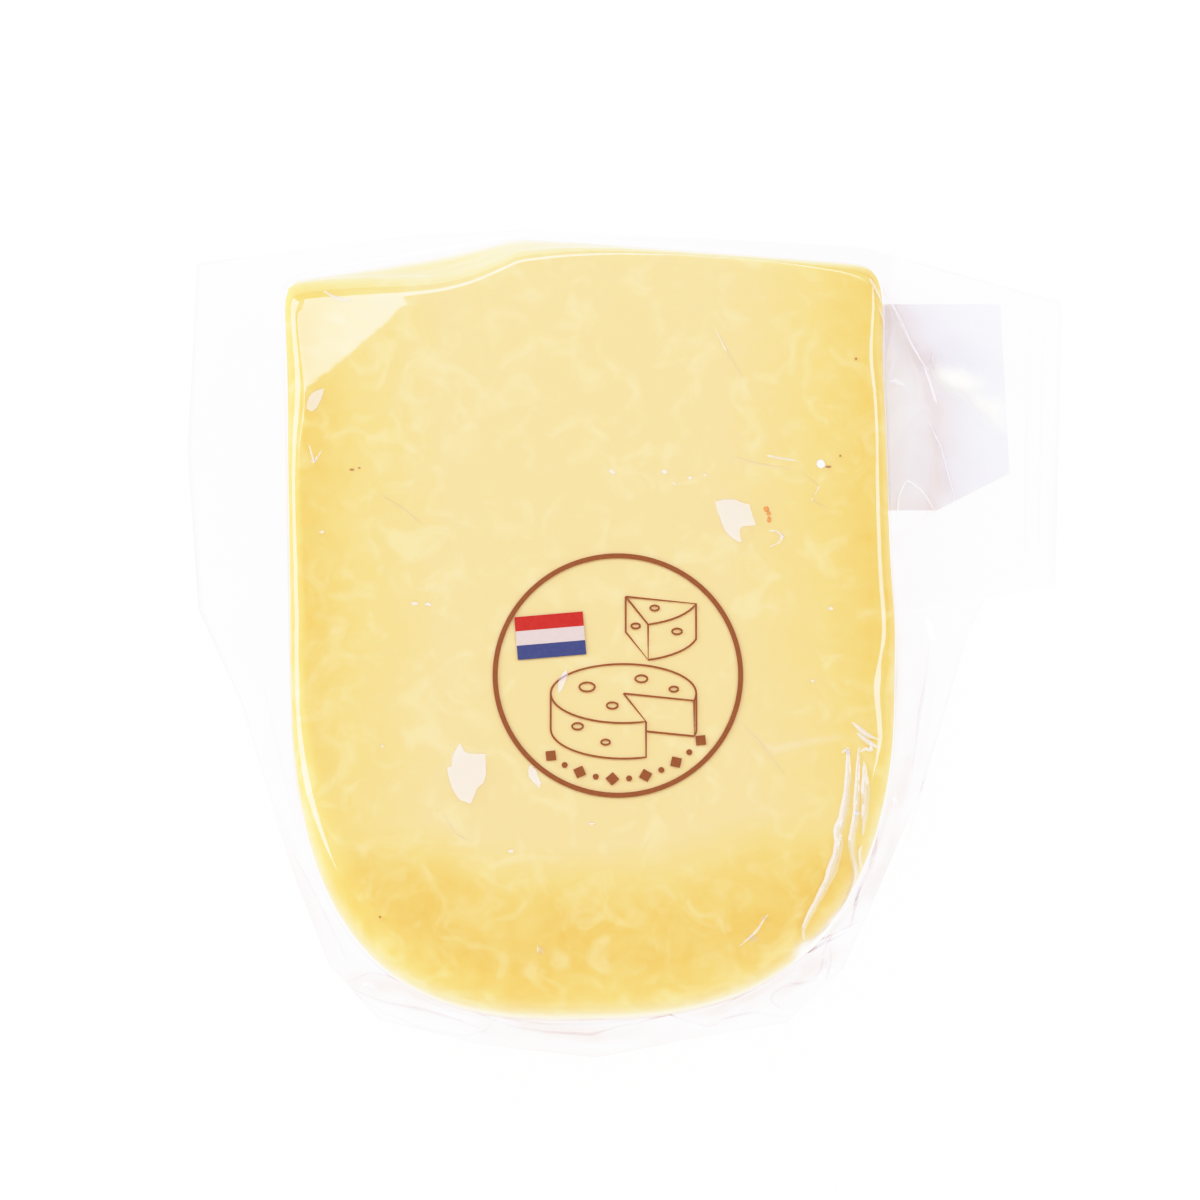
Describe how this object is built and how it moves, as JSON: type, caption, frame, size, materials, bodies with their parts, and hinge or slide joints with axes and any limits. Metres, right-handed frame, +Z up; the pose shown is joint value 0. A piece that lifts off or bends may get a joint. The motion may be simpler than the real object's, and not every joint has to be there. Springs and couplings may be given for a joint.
{
  "type": "vacuum-packed gouda cheese wedge",
  "caption": "Pale yellow cheese wedge, cut face up, sealed in clear vacuum film with a flat crumpled margin, a round printed emblem and a plain label on its back.",
  "frame": {"origin": "middle of the pack's bounding box, on the table that it lies on", "axes": "+Z up out of the shown cut face's side, +X to the shown face's right across the pack's wide margin, +Y towards the wedge's thin end"},
  "size_m": [0.1604, 0.1516, 0.0437],
  "materials": {
    "cheese_in_film": "pale yellow semi-hard cheese seen through tight clear film, satin with glossy edges",
    "cheese": "semi-hard cheese, slightly waxy, deeper yellow towards the rind",
    "clear_film": "clear glossy vacuum film",
    "print_ink": "brown ink printed on film",
    "label_paper": "smooth white sticker"
  },
  "bodies": {
    "root": {"sealed_bag": "cheese_in_film", "back_label": "label_paper"}
  },
  "joints": []
}
